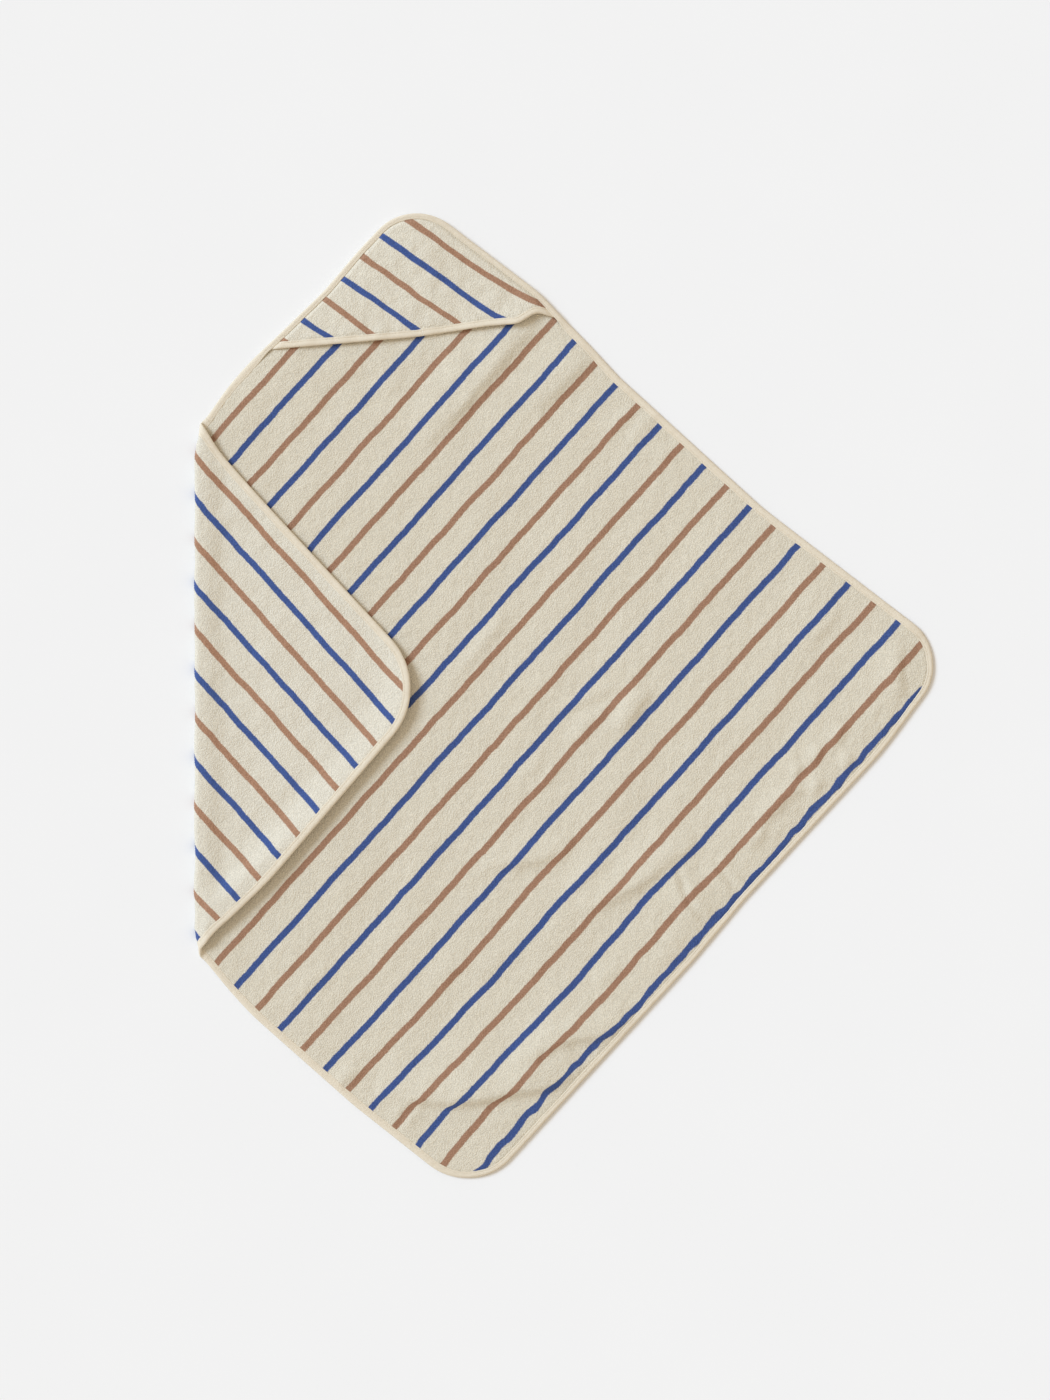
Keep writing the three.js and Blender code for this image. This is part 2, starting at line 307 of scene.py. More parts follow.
def points_inside(xy, polygon):
    """Which points lie inside a closed polygon."""
    inside = np.zeros(len(xy), bool)
    x, y = xy[:, 0], xy[:, 1]
    for a, b in zip(polygon, np.roll(polygon, -1, axis=0), strict=True):
        if a[1] == b[1]:
            continue
        crosses = (a[1] > y) != (b[1] > y)
        at = a[0] + (y - a[1]) * (b[0] - a[0]) / (b[1] - a[1])
        inside ^= crosses & (x < at)
    return inside


def well_inside(points, polygon, gap):
    """Those of the points that lie in a polygon, and further than a gap past the innermost of the rings."""
    points = points[points_inside(points, polygon)]
    return points[edge_distance(points) > FINE_RINGS[-1] + gap]


def path_distance(xy, path):
    """Distance to a polyline, positive on its right, and the place along it from 0 to 1."""
    path = np.array(path, float)
    along = lengths(path)
    best = np.full(len(xy), 1e9)
    place = np.zeros(len(xy))
    on_right = np.zeros(len(xy), bool)
    for a, b, start in zip(path[:-1], path[1:], along[:-1], strict=True):
        d = b - a
        size = np.linalg.norm(d)
        t = np.clip(((xy - a) @ d) / size**2, 0, 1)
        away = np.linalg.norm(xy - (a + t[:, None] * d), axis=1)
        nearer = away < best
        best[nearer] = away[nearer]
        place[nearer] = (start + t[nearer] * size) / along[-1]
        on_right[nearer] = (d[0] * (xy[:, 1] - a[1]) - d[1] * (xy[:, 0] - a[0]) < 0)[nearer]
    return np.where(on_right, best, -best), place


def rumple(xy, seed, wave, count=14):
    """Smooth random swell of about that wavelength, mostly between -1 and 1."""
    random = np.random.default_rng(seed)
    total = np.zeros(len(xy))
    for _ in range(count):
        angle, phase = random.uniform(0, 2 * math.pi, 2)
        k = 2 * math.pi / (wave * random.uniform(0.65, 1.5))
        total += np.cos(k * (xy @ np.array([math.cos(angle), math.sin(angle)])) + phase)
    return total / math.sqrt(count) * 0.8


# -------- how the cloth lies
def hood_share(xy):
    """0 on the towel, 1 on the hood corner, with the change just above the hood's open edge."""
    return smooth((up_hood(xy) - 10) / 14)


FLAP_EDGE = [(-377, 290), (-345, 240), (-131, 10), (-300, -188), (-377, -278)]
ALONG_STRIPES = unit(np.array([0.6682, 0.744]))


def drawn_out(xy, share):
    """The plane with lengths along the stripes cut to a share, so that a swell made in it runs along them."""
    along = xy @ ALONG_STRIPES
    return xy - (1 - share) * along[:, None] * ALONG_STRIPES


def main_relief(xy, away):
    """Height of the cloth's underside above the floor. away is the distance from the outline."""
    height = 1.1 + 0.5 * rumple(xy, 3, 95) + 0.34 * rumple(drawn_out(xy, 0.5), 4, 44)
    height += 0.2 * rumple(xy, 5, 21)
    from_mouth = xy[:, 1] - 325 - 0.11 * (xy[:, 0] + 170)
    below_hood = bell(from_mouth / 34) * smooth((-40 - xy[:, 0]) / 60)
    height += 0.8 * below_hood * rumple(xy, 6, 38)
    height *= 0.12 + 0.88 * smooth(away / 34)
    for high, left_width, right_width, path in RIDGES:
        off, place = path_distance(xy, path)
        off = off + RIDGE_CREST * right_width
        width = np.where(off > 0, right_width, left_width)
        height += high * np.sin(math.pi * place) ** 0.7 * bell(off / width)
    for deep, width, path in FURROWS:
        off, place = path_distance(xy, path)
        shape = 1.05 * bell(off / (3 * width)) - 1.35 * bell(off / width)
        height += deep * np.sin(math.pi * place) ** 0.6 * shape
    covered = path_distance(xy, FLAP_EDGE)[0]
    height *= 1 - 0.78 * smooth((covered + 14) / 22)
    return np.maximum(height, 0) * smooth((xy[:, 0] - FOLD_X) / 5)


def corner_relief(x, y, away):
    """Height of the folded corner's cloth above where a level fold would hold it, at its laid place."""
    xy = np.stack([x, y], axis=1)
    from_fold = x - FOLD_X
    down = smooth((from_fold - 6) / 24)
    lower = smooth((70 - y) / 60)  # 1 along the lower edge and the tip, 0 along the upper edge
    tip = np.exp(-((xy - CORNER_TIP) ** 2).sum(axis=1) / 45**2)
    lift = (LOWER_LIFT + TIP_LIFT * tip) * lower * (1 - smooth((away - 1) / 40))
    lift += UPPER_LIFT * (1 - lower) * (1 - smooth(away / 17))
    foot = FOOT_LIFT * smooth((-y - 85) / 120) * (1 - smooth((away - 3) / 50))
    foot *= smooth((from_fold + 2) / 14)
    waves = np.maximum(0.4 * rumple(xy, 8, 70) + 0.42 * rumple(xy, 9, 34), -0.7)
    low = -CORNER_SINKS * down * (1 - lift) + foot
    low += waves * smooth(from_fold / 25) * (1 - 0.7 * np.minimum(lift, 1)) - 0.3 * smooth(from_fold / 20)
    most = MOST_AT_FOLD + MOST_SLOPE * (x - FOLD_AXIS_X)
    return -0.5 * np.logaddexp(-2 * low, -2 * most)  # the smaller of the two, with a soft change


def bend_angle(x):
    """How far round the bend a flat point lies, from 0 to pi."""
    turn = np.clip((FOLD_X - x) / (FOLD_X - CORNER_EDGE_X), 0, 1) - 0.5
    return math.pi * (0.5 + np.where(turn < 0, -1, 1) * (BEND_GAP + (1 - 2 * BEND_GAP) * np.abs(turn)))


def fold_shift(x, y):
    """How far inside its line the soft roll of the fold stands. It is more at the fold's two ends."""
    wave = 0.7 * rumple(np.column_stack([0 * y, y]), 12, 55)
    at_ends = ROLL_IN_TOP * smooth((y - 238) / 44) + ROLL_IN_FOOT * smooth((-y - 238) / 28)
    away_x = x - FOLD_AXIS_X
    return (ROLL_IN + wave) * bell(away_x / 42) + at_ends * bell(away_x / 26)


def lay(xy, s, away):
    """Where a point of the open towel's cloth comes to lie. away is its distance from the outline."""
    x, y = xy[:, 0], xy[:, 1]
    angle = bend_angle(x)
    radius = FOLD_HEIGHT - s
    laid_x = np.where(
        x >= FOLD_X,
        x,
        np.where(x > CORNER_EDGE_X, FOLD_X - radius * np.sin(angle), 2 * FOLD_AXIS_X - x),
    )
    bend_z = FOLD_HEIGHT - radius * np.cos(angle)
    main_z = s + main_relief(xy, away)
    corner_z = 2 * FOLD_HEIGHT - s + corner_relief(laid_x, y, away)
    z = np.where(x >= FOLD_X, main_z, np.where(x > CORNER_EDGE_X, bend_z, corner_z))
    laid_x = laid_x + fold_shift(x, y)
    on_flap = smooth((angle / math.pi - 0.3) / 0.6) * bell((x - FOLD_AXIS_X) / 70)
    laid_y = y + FOOT_BACK * smooth((-y - 190) / 80) * on_flap
    return np.stack([laid_x, laid_y, z], axis=1)


def stripe_index(xy):
    """Whole numbers at the stripes' middles, even for the brown stripes."""
    angle = bend_angle(xy[:, 0])
    x = np.where(xy[:, 0] > FOLD_X, xy[:, 0], np.minimum(xy[:, 0] + FOLD_X - CORNER_EDGE_X, FOLD_X))
    x = x + FOLD_HEIGHT * np.sin(angle) + fold_shift(xy[:, 0], xy[:, 1]) * np.cos(angle)
    q = x * STRIPE_ACROSS[0] + xy[:, 1] * STRIPE_ACROSS[1] - STRIPE_FIRST
    for gathered, width, path in GATHERS:
        off, place = path_distance(xy, path)
        way = unit(np.array(path[-1], float) - path[0])
        share = smooth(off / width) * bell(off / GATHER_FADE) * np.sin(math.pi * place) ** 0.7
        q = q + gathered * share * (np.array([way[1], -way[0]]) @ STRIPE_ACROSS)
    skewed = smooth((q + STRIPE_FIRST + 100) / 420) * (1 - smooth((-xy[:, 1] - 285) / 150))
    q = q - STRIPES_SKEWED * skewed + STRIPES_CRIMPED * puckered_share(xy) * rumple(xy, 79, 24)
    b, c = STRIPE_PITCH, STRIPE_WIDEN
    return (-b + np.sqrt(np.maximum(b * b + 4 * c * q, 1.0))) / (2 * c)


def hood_stripe_index(xy):
    """The same on the hood, where the stripes bend towards its right end."""
    bent = np.clip((xy[:, 0] + 96) / 75, 0, 1.3)
    q = xy @ HOOD_STRIPE_ACROSS - HOOD_STRIPE_FIRST + 10 * bent**2
    # each stripe wavers on its own
    apart = xy + 1.5 * (xy @ HOOD_STRIPE_ACROSS)[:, None] * HOOD_STRIPE_ACROSS
    return (q + 0.6 * rumple(apart, 77, 70) + 0.3 * rumple(xy, 78, 24)) / HOOD_STRIPE_PITCH


# -------- the hood's front panel
front_edge = resampled(rounded(HOOD_FRONT_EDGE, closed=False), 2.0)
# the towel's two sides that meet at the hood's tip: a point of each, and the way inwards
LEFT_SIDE = (np.array([-213.0, 458.0]), np.array([0.7386, -0.6741]))
RIGHT_SIDE = (np.array([-23.0, 416.0]), np.array([-0.6038, -0.7971]))


def lines_meet(one, other):
    """Where two lines cross. Each is a point and the line's normal."""
    (p, n), (q, m) = one, other
    return np.linalg.solve(np.array([n, m]), np.array([p @ n, q @ m]))


# the line from the tip to the front edge that parts the hood's two pieces
HOOD_TIP = lines_meet(LEFT_SIDE, RIGHT_SIDE)
SPLIT_WAY = unit(LEFT_SIDE[1] + RIGHT_SIDE[1])
SPLIT_SIDE = np.array([SPLIT_WAY[1], -SPLIT_WAY[0]])  # points to the left half


def behind_front(xy):
    """Distance behind the hood's front edge, measured along HOOD_INWARDS."""
    along = (xy - HOOD_MIDDLE) @ HOOD_ALONG
    edge_along = (front_edge - HOOD_MIDDLE) @ HOOD_ALONG
    return up_hood(xy) - np.interp(along, edge_along, up_hood(front_edge))


# a shallow tuck along the hood's upper right side
HOOD_TUCK = [(-149, 486), (-136, 475), (-99, 449), (-69, 427), (-50, 412)]


def hood_underside(xy, away):
    """Height of the hood panel's underside, and its thickness there."""
    inside = smooth((away - 5.0) / 4.6)
    behind = behind_front(xy)
    puff = smooth((away - 8) / 40)
    swell = 0.7 * rumple(xy, 21, 58) + 0.45 * rumple(xy, 22, 27)
    ear = bell((xy[:, 0] + 36) / 22) * (1 - smooth(behind / 40))
    lip = bell((xy[:, 0] + 215) / 50) * (1 - smooth(behind / 26))
    relief = main_relief(xy, away)
    off, place = path_distance(xy, HOOD_TUCK)
    across = 0.8 * bell((off + 9) / 7) - 0.9 * bell(off / 5)
    tuck = np.sin(math.pi * place) ** 0.5 * across
    rise = 1.0 + 1.7 * puff + swell * smooth((away - 7) / 18)
    rise = rise + 3.6 * ear * smooth(away / 12) + 0.9 * lip + tuck
    return relief + 2.45 + rise * inside, 1.5 * (1 - inside) + TERRY * inside


# -------- meshes
def placed(name, data):
    obj = bpy.data.objects.new(name, data)
    bpy.context.scene.collection.objects.link(obj)
    return obj


def make_object(name, verts, faces, uv, marks=None, normals=None):
    """A mesh object. verts and uv, one for each vertex, are in millimetres. faces is a list of index lists
    or an (n, 3) array. marks gives named values, one for each vertex."""
    mesh = bpy.data.meshes.new(name)
    mesh.from_pydata((np.asarray(verts) * MM).tolist(), [], [list(map(int, f)) for f in faces])
    mesh.polygons.foreach_set("use_smooth", [True] * len(mesh.polygons))
    layer = mesh.uv_layers.new(name="cloth")
    corner = np.zeros(len(mesh.loops), np.int32)
    mesh.loops.foreach_get("vertex_index", corner)
    layer.data.foreach_set("uv", (uv[corner] * MM).astype(np.float32).ravel())
    for mark, values in (marks or {}).items():
        attribute = mesh.attributes.new(mark, "FLOAT", "POINT")
        attribute.data.foreach_set("value", np.asarray(values, np.float32))
    mesh.update()
    if normals is not None:
        mesh.normals_split_custom_set_from_vertices(normals.tolist())
    return placed(name, mesh)


def vertex_normals(verts, triangles):
    a, b, c = (verts[triangles[:, k]] for k in range(3))
    face = np.cross(b - a, c - a)
    total = np.zeros_like(verts)
    for k in range(3):
        np.add.at(total, triangles[:, k], face)
    size = np.linalg.norm(total, axis=1)
    return total / np.maximum(size, 1e-12)[:, None]


def signed_areas(points, triangles):
    """Twice the area of each triangle, positive where it runs anticlockwise."""
    a, b, c = (points[triangles[:, k]] for k in range(3))
    return (b[:, 0] - a[:, 0]) * (c[:, 1] - a[:, 1]) - (b[:, 1] - a[:, 1]) * (c[:, 0] - a[:, 0])


def triangulated(rings, inner, lines=()):
    """Triangles over everything inside the first ring, with the other rings and lines as edges.
    Rings and lines are arrays of points. A ring closes on itself."""
    points, edges = [], []
    for ring in rings:
        start = len(points)
        points += [tuple(p) for p in ring]
        count = len(ring)
        edges += [(start + k, start + (k + 1) % count) for k in range(count)]
    for line in lines:
        start = len(points)
        points += [tuple(p) for p in line]
        edges += [(start + k, start + k + 1) for k in range(len(line) - 1)]
    points += [tuple(p) for p in inner]
    face = list(range(len(rings[0])))[::-1]
    verts, _, faces, _, _, came_from = geometry.delaunay_2d_cdt(
        [Vector(p) for p in points], edges, [face], 0, 0.01
    )
    kept = np.array([f for f, source in zip(faces, came_from, strict=True) if source], int)
    verts = np.array([tuple(v) for v in verts])
    clockwise = signed_areas(verts, kept) < 0
    kept[clockwise] = kept[clockwise][:, ::-1]
    used = np.unique(kept)
    place = np.full(len(verts), -1)
    place[used] = np.arange(len(used))
    return verts[used], place[kept]


def hexagonal(low, high, step):
    """Evenly spaced points between two corners, with every other row half a step along."""
    rows = np.arange(low[1], high[1], step * 0.866)
    points = []
    for k, y in enumerate(rows):
        xs = np.arange(low[0] + (k % 2) * step / 2, high[0], step)
        points.append(np.stack([xs, np.full(len(xs), y)], axis=1))
    return np.vstack(points)


def border(triangles):
    """The directed edges that only one triangle has."""
    seen = dict.fromkeys(e for a, b, c in triangles for e in ((a, b), (b, c), (c, a)))
    return [e for e in seen if (e[1], e[0]) not in seen]


def both_faces(triangles, count):
    """Faces of a sheet with a lower face, an upper face, count vertices further on, and a rim."""
    rim = []
    for a, b in border(triangles):
        rim += [(a, b, b + count), (a, b + count, a + count)]
    return np.vstack([triangles[:, ::-1], triangles + count, np.array(rim, int)])


def sheets(flat, triangles, lows, highs, uv, stripe, parts, pale=0.0):
    """Closed sheets from one mesh, so that they meet without a gap or a crease: parts is (name, which
    triangles) for each. The normals are those of the whole. The cloth's back is paler than its face, and
    pale makes the face as pale. Gives each sheet and its flat area in m2."""
    count = len(flat)
    areas = signed_areas(flat, triangles)
    verts = np.vstack([lows, highs])
    normals = vertex_normals(verts, both_faces(triangles, count))
    made = []
    for name, chosen in parts:
        faces = both_faces(triangles[chosen], count)
        paleness = np.where(np.arange(2 * count) < count, 1.0, pale)
        v, f, (n, u, k, p) = subset(verts, faces, [normals, uv, stripe, paleness])
        marks = {"stripe": k, "pale": p}
        made.append((make_object(name, v, f, u, marks, n), float(areas[chosen].sum() / 2 * MM**2)))
    return made


def subset(verts, faces, data):
    """Only the faces given, with their vertices and the per-vertex data."""
    used = np.unique(faces)
    place = np.full(len(verts), -1)
    place[used] = np.arange(len(used))
    return verts[used], place[faces], [d[used] for d in data]


def pile(xy, seed):
    """The unevenness of the terry's surface, from about 0 to 1."""
    return 0.5 + 0.5 * rumple(xy, seed, 11, 18)


def cloth_faces(xy, away, seed):
    """Heights of the terry's lower and upper faces above the cloth's underside."""
    inside = smooth((away - 4.9) / 3.7)
    margin_low = 1.15 * (1 - inside)
    margin_high = 2.15 * (1 - inside) + TERRY * inside
    return (
        margin_low + 0.3 * inside * pile(xy, seed),
        margin_high + inside * (0.34 * pile(xy, seed + 1) - 0.12),
    )


def make_terry():
    """The towel's cloth, in two pieces that meet at SEAM_X."""
    rings = [EDGE + EDGE_INWARDS * d for d in FINE_RINGS]
    low, high = EDGE.min(axis=0), EDGE.max(axis=0)
    inner = well_inside(hexagonal(low, high, GRID), EDGE, 1.6)
    # finer where the cloth folds
    clear = (inner[:, 0] >= FOLD_X + BEND_CLEAR) | (inner[:, 0] <= CORNER_EDGE_X - BEND_CLEAR)
    inner = inner[clear]
    half = np.linspace(FOLD_X - FOLD_AXIS_X, 0.08, BEND_COLUMNS)
    columns = [SEAM_X, *(FOLD_AXIS_X + half), *(FOLD_AXIS_X - half[::-1]), CORNER_EDGE_X - 1.5]
    fold = np.array([(x, y + (k % 2) * BEND_STEP / 2) for k, x in enumerate(columns) for y in BEND_SPAN])
    # and where the hood corner turns
    up = up_hood(inner)
    inner = inner[(up < -4) | (up > 22)]
    places = [(u + (k % 2) * 1.5, v) for k, v in enumerate(HOOD_ROWS) for u in np.arange(-160, 160, 3.0)]
    hood = np.array([HOOD_MIDDLE + HOOD_ALONG * u + HOOD_INWARDS * v for u, v in places])
    extra = well_inside(np.vstack([fold, hood]), EDGE, 1.3)
    seam = np.array([(SEAM_X, 300.0), (SEAM_X, -300.0)])
    flat, triangles = triangulated(rings, np.vstack([inner, extra]), [seam])
    away = edge_distance(flat)
    s_low, s_high = cloth_faces(flat, away, 31)
    lows = lay(flat, s_low, away)
    highs = lay(flat, s_high, away)
    both = np.vstack([flat, flat])
    stripe = stripe_index(both)
    # the bend's 8 mm stand for a roll twice as long
    x = both[:, 0]
    past = np.where(x < FOLD_X, FOLD_X + 2 * (x - FOLD_X), x)
    uv = np.stack([np.where(x < CORNER_EDGE_X, x + CORNER_EDGE_X - FOLD_X, past), both[:, 1]], axis=1)
    on_main = flat[triangles].mean(axis=1)[:, 0] > SEAM_X
    parts = (("terry_main", on_main), ("terry_corner", ~on_main))
    return sheets(flat, triangles, lows, highs, uv, stripe, parts)


def make_hood():
    """The hood's front panel, in two pieces that meet at the line from its tip."""
    ring = EDGE + EDGE_INWARDS * CLOTH_INSET
    behind = behind_front(ring)
    kept = behind > 1.2
    # the run of the inset outline behind the front edge, clockwise from its left end to its right
    start = next(k for k in range(len(ring)) if kept[k] and not kept[k - 1])
    count = int(kept.sum())
    order = [(start + k) % len(ring) for k in range(count)]
    arc = ring[order]

    def row(distance):
        """The front edge moved back by a distance, between the ends of the outline inset by CLOTH_INSET."""
        line = front_edge + HOOD_INWARDS * distance
        return line[points_inside(line, ring)]

    front = row(1.2)[::-1]
    outer = np.vstack([arc, front])
    inner_rings = []
    for d in FINE_RINGS[1:]:
        line = (EDGE + EDGE_INWARDS * d)[order]
        inner_rings.append(line[behind_front(line) > 2.4])
    for d in (3.0, 5.0, 6.4, 7.6, 9.0, 10.6, 12.6):
        line = row(d)
        inner_rings.append(line[edge_distance(line) > CLOTH_INSET + 1.5])
    low, high = outer.min(axis=0), outer.max(axis=0)
    grid = well_inside(hexagonal(low, high, 3.0), outer, 1.4)
    grid = grid[behind_front(grid) > 14.2]
    ridge = resampled(np.array([HOOD_TIP - SPLIT_WAY * 5, HOOD_TIP + SPLIT_WAY * 260]), 2.6)
    points = np.vstack([grid] + inner_rings)
    points = points[np.abs((points - HOOD_TIP) @ SPLIT_SIDE) > 1.3]
    flat, triangles = triangulated([outer], points, [ridge])
    away = edge_distance(flat)
    under, thick = hood_underside(flat, away)
    inside = smooth((away - 5.0) / 4.6)
    behind = behind_front(flat)
    in_front = 1 - smooth((behind - 5.4) / 4.5)  # 1 where the front binding presses the terry
    lump = inside * (1 - in_front)
    low_z = under + thick * 0.33 * in_front * inside + lump * 0.25 * pile(flat, 51)
    high_z = under + thick * (1 - 0.30 * in_front * inside) + lump * (0.34 * pile(flat, 52) - 0.1)
    lows = np.column_stack([flat, low_z])
    highs = np.column_stack([flat, high_z])
    both = np.vstack([flat, flat])
    left = (flat[triangles].mean(axis=1) - HOOD_TIP) @ SPLIT_SIDE > 0
    parts = (("hood_left", left), ("hood_right", ~left))
    uv = both + np.array([900.0, 300.0])
    return sheets(flat, triangles, lows, highs, uv, hood_stripe_index(both), parts, pale=0.6)


# -------- binding and stitches
def section(w, t):
    """The outline across a folded tape of width w and height t: distance from the edge, and height. It closes
    on itself."""
    stitch = w * STITCH_SHARE
    upper = [
        (w - 0.1, t - TAPE),
        (w + 0.05, t - 0.45),
        (w - 0.3, t - 0.02),
        (w - 0.9, t + 0.06),
        (stitch, t - 0.26),
        (stitch - 0.9, t + 0.04),
        (w * 0.46, t + 0.16),
        (w * 0.28, t + 0.1),
        (1.15, t - 0.25),
        (0.35, t - 0.85),
        (0.0, t / 2),
    ]
    lower = [(d, t - z) for d, z in upper[-2::-1]]
    inner = [(w * 0.7, TAPE + 0.05), (1.3, 1.15), (0.9, t / 2), (1.3, t - 1.15), (w * 0.7, t - TAPE - 0.05)]
    return np.array(upper + lower + inner)


def ribbon(name, edge, inwards, widths, tops, base, seed):
    """The binding along a path. base(xy, s, away) gives the laid place of flat points."""
    count = len(edge)
    along = lengths(edge)
    profiles = np.array([section(w, t) for w, t in zip(widths, tops, strict=True)])
    rows = profiles.shape[1]
    line = np.stack([along, np.zeros(count)], axis=1)
    wobble = 0.22 * rumple(line, seed, 26) + 0.10 * rumple(line, seed + 1, 7)
    pucker = 0.10 * rumple(line, seed + 2, 5.5) + 0.08 * rumple(line, seed + 3, 17)
    share = np.clip(profiles[:, :, 0] / widths[:, None], 0, 1)
    d = profiles[:, :, 0] + wobble[:, None] * share
    middle = tops[:, None] / 2
    s = middle + (profiles[:, :, 1] - middle) * (1 + (pucker[:, None] * np.sin(math.pi * share) ** 0.6) * 0.5)
    xy = edge[:, None, :] + inwards[:, None, :] * d[:, :, None]
    verts = base(xy.reshape(-1, 2), s.reshape(-1), np.maximum(d, 0).reshape(-1))
    quads = []
    for k in range(count - 1):
        a = k * rows
        for j in range(rows):
            jn = (j + 1) % rows
            quads.append((a + j, a + jn, a + rows + jn, a + rows + j))
    quads.append(tuple(range(rows))[::-1])
    quads.append(tuple((count - 1) * rows + k for k in range(rows)))
    uv = np.stack([np.repeat(along, rows), np.tile(lengths(profiles[0]), count)], axis=1)
    return facing_out(make_object(name, verts, quads, uv))


def facing_out(obj):
    bm = bmesh.new()
    bm.from_mesh(obj.data)
    bmesh.ops.recalc_face_normals(bm, faces=bm.faces)
    bm.to_mesh(obj.data)
    bm.free()
    return obj


# a stitch's sections: place along it as a share of its length, and size as a share of its width
STITCH_RINGS = [(-0.5, 0.25), (-0.36, 0.85), (0.0, 1.0), (0.36, 0.85), (0.5, 0.25)]
STITCH_SIDES = 6


def stitches(name, edge, inwards, widths, tops, base):
    """Separate stitches sunk in the binding's stitch line, on both faces."""
    along = lengths(edge)
    number = int(along[-1] / STITCH_PITCH)
    centres = (np.arange(number) + 0.5) * along[-1] / number
    line = edge + inwards * (widths * STITCH_SHARE)[:, None]
    centres = centres[np.abs(np.interp(centres, along, line[:, 0]) - FOLD_AXIS_X) > CREASE_CLEAR]
    number = len(centres)
    table = np.column_stack([edge, inwards, widths, tops]).T
    flat, heights, aways, uv = [], [], [], []
    for up in (True, False):
        for share, size in STITCH_RINGS:
            places = centres + share * STITCH_LENGTH
            x, y, in_x, in_y, width, top = (np.interp(places, along, values) for values in table)
            level = (top - STITCH_SUNK) if up else np.full(number, STITCH_SUNK)
            for side in range(STITCH_SIDES):
                angle = 2 * math.pi * side / STITCH_SIDES
                d = width * STITCH_SHARE + size * STITCH_WIDTH / 2 * math.cos(angle)
                s = level + size * STITCH_WIDTH / 2 * math.sin(angle)
                flat.append(np.stack([x + in_x * d, y + in_y * d], axis=1))
                heights.append(s)
                aways.append(d)
                uv.append(np.stack([places, d], axis=1))
    verts = base(np.vstack(flat), np.concatenate(heights), np.concatenate(aways))
    rows = []  # of the first stitch's vertices, for each of its faces
    last = (len(STITCH_RINGS) - 1) * STITCH_SIDES
    for first in (0, last + STITCH_SIDES):
        for ring in range(first, first + last, STITCH_SIDES):
            for side in range(STITCH_SIDES):
                a, b = ring + side, ring + (side + 1) % STITCH_SIDES
                rows.append((a, b, b + STITCH_SIDES, a + STITCH_SIDES))
        rows += [range(ring, ring + STITCH_SIDES) for ring in (first, first + last)]
    faces = [[row * number + k for row in face] for face in rows for k in range(number)]
    return facing_out(make_object(name, verts, faces, np.vstack(uv)))


def edge_run(first, last):
    """The outline's indices from one round to another, both included."""
    count = len(EDGE)
    return [(first + k) % count for k in range((last - first) % count + 1)]


def make_edges():
    """The towel's binding and stitches, in one run on the towel and one on the folded corner."""
    on_seam = [k for k in range(len(EDGE)) if abs(EDGE[k, 0] - SEAM_X) < 1e-6]
    top = max(on_seam, key=lambda k: EDGE[k, 1])
    bottom = min(on_seam, key=lambda k: EDGE[k, 1])
    made = []
    for name, order in (("main", edge_run(top, bottom)), ("corner", edge_run(bottom, top))):
        edge, inwards = EDGE[order], EDGE_INWARDS[order]
        share = hood_share(edge) if name == "main" else np.zeros(len(edge))
        widths = BINDING_WIDTH + (HOOD_BINDING_WIDTH - BINDING_WIDTH) * share
        widths += (PUCKERED_BINDING_WIDTH - BINDING_WIDTH) * puckered_share(edge)
        tops = BINDING_TOP + (HOOD_BINDING_TOP - BINDING_TOP) * share
        made.append(ribbon("binding_" + name, edge, inwards, widths, tops, lay, 61))
        made.append(stitches("stitches_" + name, edge, inwards, widths, tops, lay))
    return made


def front_base(xy, s, _):
    """Laid place of points of the hood's front binding: s above the underside of the hood's terry."""
    away = edge_distance(xy)
    under, thick = hood_underside(xy, away)
    squeeze = thick / TERRY
    return np.column_stack([xy, under + (s - 0.15) * squeeze])


def make_front_edges():
    """The binding and stitches of the hood's front edge, in a left and a right run."""
    inside = points_inside(front_edge, EDGE + EDGE_INWARDS * 5.6)
    path = front_edge[inside]
    at = (path - HOOD_TIP) @ SPLIT_SIDE
    cut = next(k for k in range(len(path) - 1) if at[k] > 0 >= at[k + 1])
    t = at[cut] / (at[cut] - at[cut + 1])
    mid = path[cut] + (path[cut + 1] - path[cut]) * t
    path = np.vstack([path[: cut + 1], mid, path[cut + 1 :]])
    inwards = -inward_normals(path, False)  # the path runs left to right, and the hood is on its left
    made = []
    for name, part in (("left", slice(0, cut + 2)), ("right", slice(cut + 1, None))):
        edge, inward = path[part], inwards[part]
        widths = np.full(len(edge), FRONT_BINDING_WIDTH)
        tops = np.full(len(edge), BINDING_TOP)
        made.append(ribbon("hood_binding_" + name, edge, inward, widths, tops, front_base, 71))
        made.append(stitches("hood_stitches_" + name, edge, inward, widths, tops, front_base))
    return made


# -------- materials
def srgb(*levels):
    """A colour given as screen levels from 11 to 255, as linear red, green, blue and alpha."""
    return tuple(((c / 255 + 0.055) / 1.055) ** 2.4 for c in levels) + (1,)


